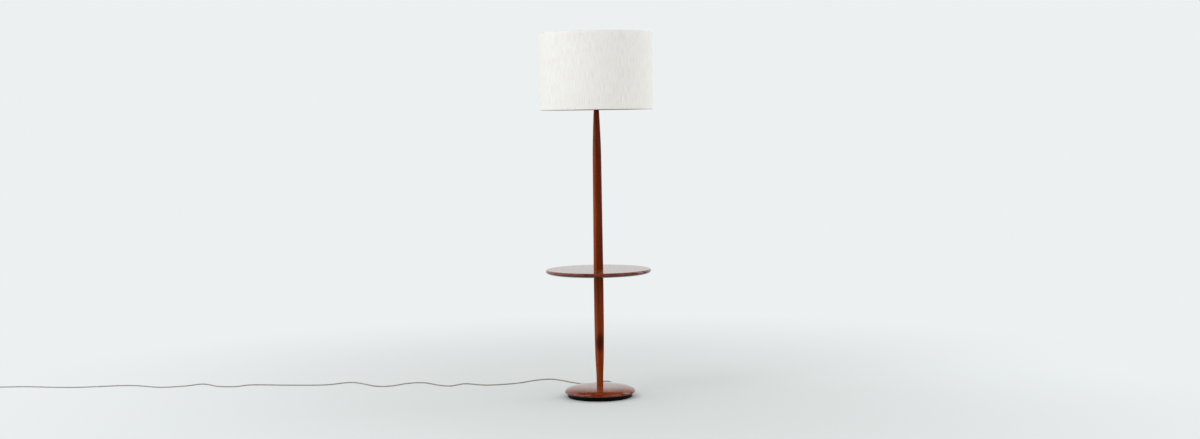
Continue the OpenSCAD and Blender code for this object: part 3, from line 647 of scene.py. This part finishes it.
lower_low, lower_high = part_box("pole_lower")
upper_low, upper_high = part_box("pole_upper")
table_low, table_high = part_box("table_top")
pole_foot_r = 0.0135
pole_belly_r = 0.0195
pole_tip_r = 0.0105
tenon_r = 0.012
coupling_hole_r = 0.0068
coupling_top_z = 0.544
broken_edge = 0.0006
lower_swell = [
    (0, 0), (0.05, 0.02), (0.12, 0.16), (0.20, 0.45), (0.28, 0.66),
    (0.38, 0.80), (0.52, 0.94), (0.72, 0.985), (1, 1),
]
upper_swell = [
    (0, 0.99), (0.10, 0.955), (0.25, 0.90), (0.40, 0.855), (0.55, 0.81), (0.66, 0.78),
    (0.73, 0.735), (0.80, 0.61), (0.87, 0.43), (0.935, 0.235), (1, 0),
]


def swelling(foot_z, top_z, thin_r, swell):
    """The outline of a turned length: at each share of its height the radius has gone a share
    of the way from thin to the belly. Both end edges are broken by a small bevel."""
    curve = smooth(swell, 14)
    z = foot_z + (top_z - foot_z) * curve[:, 0]
    r = thin_r + (pole_belly_r - thin_r) * curve[:, 1]
    r -= broken_edge * np.clip(1 - (z - foot_z) / broken_edge, 0, 1)
    r -= broken_edge * np.clip(1 - (top_z - z) / broken_edge, 0, 1)
    foot_bevel = [(r[0], z[0]), (r[1], foot_z + broken_edge)]
    top_bevel = [(r[-2], top_z - broken_edge), (r[-1], z[-1])]
    return np.vstack([foot_bevel, np.stack([r, z], axis=1)[1:-1], top_bevel])


lower_outline = np.vstack([
    [(pipe_hole_r, lower_low.z)],
    swelling(lower_low.z, table_low.z, pole_foot_r, lower_swell),
    [(tenon_r, table_low.z), (tenon_r, lower_high.z), (pipe_hole_r, lower_high.z)],
])
upper_outline = np.vstack([
    [(coupling_hole_r, upper_low.z)],
    swelling(upper_low.z, upper_high.z, pole_tip_r, upper_swell),
    [(pipe_hole_r, upper_high.z), (pipe_hole_r, coupling_top_z)],
    [(coupling_hole_r, coupling_top_z)],
])
upright_grain = (0, 0, 0)
knot_place = (0.002, -0.017, 0.222)
pole_lower_wood = skin("pole_lower_wood", lathe(lower_outline, 96), loop=True)
# The last number of each pole's walnut paints its left side paler, as painted light.
lower_walnut = walnut(upright_grain, (0.045, 0.055, 0), 0.03, -0.06, (knot_place, 0.030), 0.16)
dress(pole_lower_wood, finish("pole_lower_walnut", lower_walnut))
pole_upper_wood = skin("pole_upper_wood", lathe(upper_outline, 96), loop=True)
upper_walnut = walnut(upright_grain, (0.045, 0.055, 0.4), 0.03, 0.06, None, 0.26)
dress(pole_upper_wood, finish("pole_upper_walnut", upper_walnut))
for length, node in ((pole_lower_wood, "pole_lower"), (pole_upper_wood, "pole_upper")):
    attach(length, "lamp")
    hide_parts(node)

# ---- The table ------------------------------------------------------------------------
# A round walnut top, turned on a faceplate and clamped between the two pole lengths. Its edge
# is rounded above and has a long bevel below, so that it looks thin.

table_r = table_high.x
table_widest_z = table_high.z - 0.008
round_in = 0.0075
bevel_in = 0.028
housing_r = 0.0196


def table_outline():
    """Above the widest line a quarter ellipse, below it a longer, flatter one. The flat top
    runs in to a shallow housing for the upper pole, round the hole for the tenon."""
    a = np.linspace(0, math.pi / 2, 25)
    bevel = np.stack(
        [table_r - bevel_in * (1 - np.sin(a)),
         table_widest_z - (table_widest_z - table_low.z) * np.cos(a)], axis=1)
    rounding = np.stack(
        [table_r - round_in * (1 - np.cos(a[1:])),
         table_widest_z + (table_high.z - table_widest_z) * np.sin(a[1:])], axis=1)
    flat = np.linspace(table_r - round_in, housing_r, 40)[1:]
    top = np.stack([flat, 0 * flat + table_high.z], axis=1)
    housing = [(housing_r, upper_low.z), (tenon_r, upper_low.z), (tenon_r, table_low.z)]
    return np.vstack([bevel, rounding, top, housing])


table_wood = skin("table_wood", lathe(table_outline(), 288), loop=True)
# Painted shade: the table's colour is painted darker below its widest line.
table_walnut = walnut(lying_grain, (0.56, -0.05, 0.2), 1.0, -0.03, shade_below_z=table_widest_z + 0.002)
dress(table_wood, finish("table_walnut", table_walnut))
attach(table_wood, "lamp")
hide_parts("table_top")

# ---- The neck and the harp ------------------------------------------------------------
# Lacquered brass: a stepped ring and a nut on the pole, the harp's bent strap, two ferrules
# that lock the legs, and the swivel that is clamped on the harp's top. The harp is one wire,
# bent in one plane.

wire_low, wire_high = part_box("harp_wire")
wire_r = wire_high.y
leg_x = 0.030
leg_top_z = wire_low.z + 0.038
harp_half_w = wire_high.x - wire_r
harp_top_z = wire_high.z - wire_r
flare_r = 0.030
shoulder_r = 0.060
corner_r = 0.045
flare = math.radians(22)


def bent(moves):
    """A wire's centre line in one plane, from the origin straight up, as (across, up) points.
    Each move is (length, 0), a straight stretch, or (bend radius, angle); a positive angle
    leans the wire outwards."""
    lean, points = 0.0, [np.zeros((1, 2))]
    for size, turn in moves:
        at = points[-1][-1]
        if turn == 0:
            points.append(at + size * np.array([[math.sin(lean), math.cos(lean)]]))
            continue
        r = math.copysign(size, turn)
        centre = at + r * np.array([math.cos(lean), -math.sin(lean)])
        a = lean + np.linspace(0, turn, math.ceil(abs(turn) / math.radians(3)) + 1)[1:]
        points.append(centre - r * np.stack([np.cos(a), -np.sin(a)], axis=1))
        lean += turn
    return np.vstack(points)


def harp_path():
    """Up a leg, out at the flare, up the side, round the top corner, and the same mirrored."""
    bends = flare_r + shoulder_r
    slant = (harp_half_w - leg_x - bends * (1 - math.cos(flare))) / math.sin(flare)
    side = harp_top_z - leg_top_z - corner_r - bends * math.sin(flare) - slant * math.cos(flare)
    half = bent([
        (leg_top_z - wire_low.z, 0), (flare_r, flare), (slant, 0), (shoulder_r, -flare),
        (side, 0), (corner_r, -math.pi / 2), (harp_half_w - corner_r, 0),
    ])
    x, z = (half + (leg_x, wire_low.z)).T
    right = np.stack([x, 0 * x, z], axis=1)
    return np.vstack([right, right[-2::-1] * (-1, 1, 1)])


def lacquered_brass(at):
    """Spun and drawn brass under old lacquer: warm, softly clouded, with a few fine freckles
    where the lacquer let the air in, and turned lines."""
    clouds = cloud(at, (70, 70, 70), 3)
    freckles = clear_step(cloud(at, (900, 900, 900), 2), 0.64, 0.72)
    turned = cloud(at, (15, 15, 2600), 1)
    return {
        "Base Color": shaded(
            clouds - freckles * 0.16,
            (0.20, colour(150, 115, 60)),
            (0.42, colour(198, 160, 95)),
            (0.62, colour(218, 184, 117)),
        ),
        "Metallic": 1.0,
        "Roughness": 0.20 + clouds * 0.16 + freckles * 0.12,
        "Normal": raised(turned, 0.00003),
    }


harp_bow = skin("harp_bow", drawn(harp_path(), wire_r, 20, up=(0, 1, 0)), loop=False)
brass = finish("lacquered_brass", lacquered_brass)
dress(harp_bow, brass)
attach(harp_bow, "lamp")
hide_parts("harp_wire")
for name in (
    "neck_ring", "neck_nut", "harp_saddle", "harp_ferrule_left", "harp_ferrule_right",
    "harp_swivel",
):
    dress(nodes[name], brass)

# ---- The socket -----------------------------------------------------------------------
# A brass cap and shell round a fibre liner. Inside is a dark phenolic body that carries the
# threaded screw shell, the centre contact, two terminal screws and the switch with its key.

for name in (
    "socket_cap", "socket_shell", "socket_screw_shell", "socket_contact", "terminal_screws",
):
    dress(nodes[name], brass)


def vulcan_fibre(at):
    """Pressed paper board, brown, with long fibres in it."""
    fibres = cloud(at, (500, 500, 90), 4)
    return {
        "Base Color": shaded(fibres, (0.3, colour(134, 104, 70)), (0.7, colour(176, 146, 104))),
        "Roughness": 0.85,
        "Normal": raised(fibres, 0.0001),
    }


def phenolic(at):
    """Moulded brown-black resin with a fine wood-flour speckle."""
    speckle = cloud(at, (1300, 1300, 1300), 2)
    return {
        "Base Color": shaded(speckle, (0.4, colour(30, 22, 18)), (0.75, colour(60, 44, 34))),
        "Roughness": 0.30 + speckle * 0.15,
        "Normal": raised(speckle, 0.00003),
    }


def tinned_copper(at):
    """Bare tinned strands, twisted and slightly dull."""
    strands = cloud(at, (1500, 1500, 500), 2)
    return {
        "Base Color": shaded(strands, (0.3, colour(150, 140, 126)), (0.7, colour(206, 200, 190))),
        "Metallic": 1.0,
        "Roughness": 0.35 + strands * 0.2,
        "Normal": raised(strands, 0.0002),
    }


moulding = finish("phenolic", phenolic)
dress(nodes["socket_liner"], finish("vulcan_fibre", vulcan_fibre))
dress(nodes["socket_body"], moulding)
dress(nodes["switch_key"], moulding)
dress(nodes["socket_leads"], finish("tinned_copper", tinned_copper))

# ---- The bulb -------------------------------------------------------------------------
# A small globe of opal glass, blown thin, and cemented into a rolled aluminium screw cap. It is
# screwed into the socket and stands inside the harp.

glass_low, glass_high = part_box("bulb_glass")
globe_r = glass_high.x
globe_z = glass_high.z - globe_r
glass_wall = 0.001
glass_seat_z = glass_low.z + 0.004
glass_neck_r = 0.01295


def glass_outline(inside):
    """A globe from 35 degrees below its middle up to its top, over a neck that narrows as
    t^2 (1.6 - 0.6 t) to the metal cap; inside is how far the wall's face lies within."""
    low = math.radians(-35)
    r, neck = globe_r - inside, glass_neck_r - inside
    t = np.linspace(0, 1, 12)[:-1]
    neck_curve = np.stack(
        [neck + (r * math.cos(low) - neck) * t * t * (1.6 - 0.6 * t),
         glass_seat_z + (globe_z - glass_seat_z + r * math.sin(low)) * t], axis=1)
    a = np.linspace(low, math.radians(89.5), 40)
    globe = np.stack([r * np.cos(a), globe_z + r * np.sin(a)], axis=1)
    return np.vstack([[(neck, glass_low.z)], neck_curve, globe])


def opal_glass(at):
    """White flashed glass: even, smooth, faintly clouded, and barely see-through."""
    haze = cloud(at, (35, 35, 35), 2)
    return {
        "Base Color": shaded(haze, (0.3, colour(240, 240, 235)), (0.7, colour(250, 250, 247))),
        "Roughness": 0.10 + haze * 0.08,
        "Transmission Weight": 0.05,
        "Subsurface Weight": 0.3,
        "Subsurface Radius": (0.004, 0.004, 0.004),
        "IOR": 1.5,
    }


def rolled_cap(at):
    """Rolled aluminium, brushed round by the thread rollers and smudged by hands."""
    smudge = cloud(at, (160, 160, 160), 3)
    brushed = cloud(at, (40, 40, 2200), 1)
    return {
        "Base Color": shaded(smudge, (0.3, colour(168, 168, 164)), (0.7, colour(208, 208, 204))),
        "Metallic": 1.0,
        "Roughness": 0.24 + smudge * 0.22,
        "Normal": raised(brushed, 0.00003),
    }


globe_grid = np.vstack([lathe(glass_outline(0), 96), lathe(glass_outline(glass_wall), 96)[::-1]])
bulb_globe = skin("bulb_globe", globe_grid, loop=True)
dress(bulb_globe, finish("opal_glass", opal_glass))
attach(bulb_globe, "bulb")
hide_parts("bulb_glass")
dress(nodes["bulb_base"], finish("rolled_cap", rolled_cap))

# ---- The shade ------------------------------------------------------------------------
# Oatmeal linen bonded to a white styrene sheet and rolled into a drum. Its ends overlap in an
# upright seam at the back, and its edges are turned in over two steel rings.

shade_low, shade_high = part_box("shade_fabric")
shade_r = shade_high.x
linen_t = 0.0006
hem_h = 0.012
ring_r = 0.002
lining_low, lining_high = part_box("shade_liner")
lining_r = lining_high.x
lining_t = 0.0007
hem_out_r = lining_r - lining_t - 2 * ring_r
fold_r = 0.0008
seam_overlap = 0.012
seam_edge = 0.0015
thread_gap = 0.0011
inner_face_r = shade_r - 0.0028


def linen_outline():
    """The section of the drum's wall: up the outside, over the fold, down the turned hem and
    back up its other face, down the inside, and the same at the foot."""
    a = np.linspace(0, math.pi / 2, 6)
    fold = np.stack(
        [shade_r - fold_r * (1 - np.cos(a)), shade_high.z - fold_r * (1 - np.sin(a))], axis=1
    )
    wall = np.linspace(shade_low.z + fold_r, shade_high.z - fold_r, 33)[1:-1]
    outer = np.stack([0 * wall + shade_r, wall], axis=1)
    top = np.vstack([
        fold,
        [(hem_out_r - 0.3 * linen_t, shade_high.z), (hem_out_r - linen_t, shade_high.z - fold_r),
         (hem_out_r - linen_t, shade_high.z - hem_h), (hem_out_r, shade_high.z - hem_h),
         (hem_out_r, shade_high.z - linen_t), (shade_r - linen_t, shade_high.z - linen_t)],
    ])
    foot = top * (1, -1) + (0, shade_high.z + shade_low.z)
    return np.vstack([outer, top, foot[::-1]])


def linen_drum():
    """The outline carried round, with the outside standing one cloth thicker over the seam."""
    outline = linen_outline()
    grid = lathe(outline, 480)
    angle = np.arctan2(grid[..., 1], grid[..., 0]) - math.pi / 2
    lap = np.clip((seam_overlap / 2 - abs(angle) * shade_r) / seam_edge + 0.5, 0, 1)
    outside = (outline[:, 0] > shade_r - fold_r)[:, None]
    grow = 1 + (0.5 * linen_t / shade_r) * lap * outside
    return grid * np.stack([grow, grow, 1 + 0 * grow], axis=-1)


def oatmeal_linen(at):
    """Plain weave: thick and thin upright threads over finer level ones, with slubs, on a
    warm off-white ground. U runs round the drum and V up it. Inside, the lower hem is painted
    dark brown, as painted shade for the shadowed inside of the drum, and the upper fold is
    painted a little darker, partly as dust and partly as painted shade where the light from
    above falls hardest."""
    cloth = at.node("UVMap")
    u, v = (cloth.node("SeparateXYZ", {}, {0: cloth}, out) for out in ("X", "Y"))
    thread = 2 * math.pi / thread_gap
    up, level = (cloth.node("Math", {"operation": "SINE"}, {0: way * thread}) for way in (u, v))
    upright = cloud(cloth, (650, 20, 1), 3)
    slubs = clear_step(cloud(cloth, (420, 30, 1), 2), 0.60, 0.72)
    level_slubs = clear_step(cloud(cloth, (26, 520, 1), 2), 0.62, 0.74)
    tone = upright * 0.8 + up * level * 0.05 + level_slubs * 0.10 - slubs * 0.22
    x, y, z = (at.node("SeparateXYZ", {}, {0: at}, out) for out in ("X", "Y", "Z"))
    radius = (x * x + y * y) ** 0.5
    # Painted shade: the inner face of the lower hem gets a dark brown, standing for the shadowed
    # inside of the drum.
    within = 1 - clear_step(radius, inner_face_r - 0.0002, inner_face_r + 0.0002)
    painted_shade_hem = within * (1 - clear_step(z, shade_low.z + hem_h, shade_low.z + 2 * hem_h))
    # The upper fold is painted darker, as dust and as painted shade where the light from above
    # falls hardest.
    dust_and_shade = clear_step(z, shade_high.z - fold_r, shade_high.z - 0.25 * fold_r)
    relief = 0.5 + up * level * 0.35 + slubs * 0.5 + level_slubs * 0.3
    flax = shaded(
        tone,
        (0.12, colour(222, 213, 204)),
        (0.34, colour(239, 232, 225)),
        (0.52, colour(247, 242, 237)),
    )
    # The dark brown painted on the inner lower hem, as painted shade.
    tape = shaded(tone, (0.2, colour(44, 31, 26)), (0.6, colour(70, 53, 46)))
    # The darker colour of the upper fold: dust, and painted shade against the strong light from
    # above.
    dust = shaded(tone, (0.2, colour(184, 177, 169)), (0.5, colour(205, 199, 191)))
    return {
        "Base Color": mixed(painted_shade_hem, mixed(dust_and_shade, flax, dust), tape),
        "Roughness": 0.9,
        "Normal": raised(relief, 0.00018, 0.6),
        "Sheen Weight": 0.1,
        "Sheen Roughness": 0.5,
    }


shade_linen = skin("shade_linen", linen_drum(), loop=True)
dress(shade_linen, finish("oatmeal_linen", oatmeal_linen))
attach(shade_linen, "shade")
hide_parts("shade_fabric")


def styrene(at):
    """Smooth white plastic sheet with the faint waves of its rolling."""
    waves = cloud(at, (30, 30, 4), 2)
    return {
        "Base Color": shaded(waves, (0.3, colour(232, 230, 224)), (0.7, colour(242, 241, 237))),
        "Roughness": 0.42 + waves * 0.1,
        "Normal": raised(waves, 0.0004, 0.4),
    }


lining_outline = [
    (lining_r - lining_t, lining_low.z), (lining_r, lining_low.z),
    (lining_r, lining_high.z), (lining_r - lining_t, lining_high.z),
]
shade_lining = skin("shade_lining", lathe(lining_outline, 240), loop=True)
dress(shade_lining, finish("styrene", styrene))
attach(shade_lining, "shade")
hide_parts("shade_liner")
for name in ("shade_top_ring", "shade_bottom_ring"):
    dress(nodes[name], plated)
dress(nodes["shade_spider"], brass)

# ---- The finial -----------------------------------------------------------------------
# A small turned brass knob with a foot, a neck and a ball, threaded onto the harp's stud over
# the spider's hub.

knob_low, knob_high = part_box("finial")
ball_r = 0.0085


def knob_outline():
    """A flat foot, a hollow neck and a ball, as (radius, height)."""
    foot_z = knob_low.z
    stem = smooth([
        (0.0070, 0.0003), (0.0070, 0.0028), (0.0060, 0.0036), (0.0050, 0.0045), (0.0050, 0.0062),
    ], 6) + (0, foot_z)
    a = np.radians(np.linspace(-50, 89, 40))
    ball = np.stack([ball_r * np.cos(a), knob_high.z - ball_r + ball_r * np.sin(a)], axis=1)
    bore_r = 0.0032
    bore_top = foot_z + 0.0145
    return np.vstack([[(bore_r, foot_z), (0.0067, foot_z)], stem, ball,
                      [(0.0001, bore_top), (bore_r, bore_top)]])


finial_knob = skin("finial_knob", lathe(knob_outline(), 72), loop=True)
dress(finial_knob, brass)
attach(finial_knob, "finial")
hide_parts("finial")

# ---- The studio -----------------------------------------------------------------------
# A pale floor that fades into a pale surround, and broad soft lights at the front left and at
# both sides. In the varnish, dark cards stand for the unlit end of the room, and two bright
# strips for the windows over them.

pale = opaque(colour(236, 240, 241))
surround = 1.34
floor_seen = opaque(colour(195, 195, 193))
floor_bounce = opaque(colour(152, 152, 150))
glow_bounce = 0.45
floor_fade = (0.6, 3.0)
ceiling_dims = 0.9


def floor_mesh():
    """A square of 60 m at height 0."""
    mesh = bpy.data.meshes.new("floor")
    reach = 30
    mesh.from_pydata(
        [(-reach, -reach, 0), (reach, -reach, 0), (reach, reach, 0), (-reach, reach, 0)], [],
        [(0, 1, 2, 3)],
    )
    return mesh


def seen_by_eye(at):
    """1 where the camera looks, straight or by a reflection or through glass, and 0 for the
    light that matt surfaces gather."""
    camera_ray, glossy_ray, glass_ray = (
        at.node("LightPath", out=name)
        for name in ("Is Camera Ray", "Is Glossy Ray", "Is Transmission Ray")
    )
    either = at.maths("MAXIMUM", camera_ray, glossy_ray)
    return at.maths("MAXIMUM", either, glass_ray)


def floor_finish():
    """Matt and pale near the lamp, where it takes the shadow, though it sends little light up
    under the table; further off it glows evenly in the surround's own colour, so that no edge
    or horizon shows."""
    material = bpy.data.materials.new("pale_floor")
    material.use_nodes = True
    material.node_tree.nodes.clear()
    at = Finish(material.node_tree).node("TexCoord", out="Object")
    away = at.node("VectorMath", {"operation": "LENGTH"}, {0: at}, "Value")
    seen = seen_by_eye(at)
    matt = at.node("BsdfDiffuse", {}, {"Color": mixed(seen, floor_bounce, floor_seen)})
    strength = glow_bounce + seen * (1 - glow_bounce)
    glow = at.node("Emission", {}, {"Color": pale, "Strength": strength})
    ground = at.node("MixShader", {}, {0: clear_step(away, *floor_fade), 1: matt, 2: glow})
    at.node("OutputMaterial", {}, {"Surface": ground})
    return material


floor = bpy.data.objects.new("floor", floor_mesh())
floor.data.materials.append(floor_finish())
scene.collection.objects.link(floor)


def surround_light():
    """The surround shows pale to the camera and in gloss and glass, and lights the lamp from
    all sides at its own strength. High overhead gloss sees a dim ceiling."""
    world = bpy.data.worlds.new("surround")
    scene.world = world
    world.use_nodes = True
    world.node_tree.nodes.clear()
    start = Finish(world.node_tree)
    direction = start.node("TexCoord", out="Generated")
    upward = direction.node("SeparateXYZ", {}, {0: direction}, "Z")
    ceiling = clear_step(upward, 0.66, 0.84) * start.node("LightPath", out="Is Glossy Ray")
    strength = surround + seen_by_eye(start) * (1 - surround) - ceiling * ceiling_dims
    glow = start.node("Background", {}, {"Color": pale, "Strength": strength})
    start.node("OutputWorld", {}, {"Surface": glow})


surround_light()


def soft_light(name, azimuth, distance, height, size, energy, tint):
    """A rectangle of light at an azimuth in degrees from the front, turned to the pole."""
    lamp = bpy.data.lights.new(name, "AREA")
    lamp.shape = "RECTANGLE"
    lamp.size, lamp.size_y = size
    lamp.energy = energy
    lamp.color = tint
    light = bpy.data.objects.new(name, lamp)
    a = math.radians(azimuth)
    light.location = (distance * math.sin(a), -distance * math.cos(a), height)
    aim = Vector((0, 0, 0.8)) - light.location
    light.rotation_euler = aim.to_track_quat("-Z", "Y").to_euler()
    scene.collection.objects.link(light)


daylight = (0.85, 0.95, 1.0)
soft_light("front_light", -48, 3.6, 3.4, (1.6, 1.6), 41, daylight)
soft_light("left_light", -90, 3.0, 1.5, (1.2, 2.4), 8, daylight)
soft_light("right_light", 105, 3.2, 1.6, (1.2, 2.4), 24, daylight)


def card(name, azimuths, heights, away, tone, glow):
    """A curved sheet so far away from the pole, between two azimuths in degrees from the front
    and between two heights. Only gloss sees it, in its own tone or glowing."""
    a = np.radians(np.linspace(*azimuths, 25))[:, None]
    radius = away + np.array([0, 0, 0.01, 0.01])[None]
    height = np.array([heights[0], heights[1], heights[1], heights[0]])[None]
    grid = np.stack([radius * np.sin(a), -radius * np.cos(a), height + 0 * a], axis=-1)
    sheet = skin(name, grid, loop=False)
    settings = {
        "Base Color": opaque(colour(tone, tone, tone)),
        "Roughness": 1.0,
        "Emission Color": opaque((1, 1, 1)),
        "Emission Strength": glow,
    }
    dress(sheet, finish(name, lambda at: settings))
    sheet.visible_camera = False
    sheet.visible_diffuse = False
    sheet.visible_transmission = False
    sheet.visible_shadow = False


card("front_card", (-52, 42), (-0.2, 2.6), 3.6, 40, 0)
card("right_card", (58, 128), (-0.2, 2.6), 3.6, 40, 0)
card("ceiling_card", (-100, 100), (2.2, 7.0), 3.65, 40, 0)
card("left_window", (-84, -33), (1.55, 2.4), 3.5, 235, 2.0)
card("right_window", (13, 76), (1.55, 2.4), 3.5, 235, 2.0)
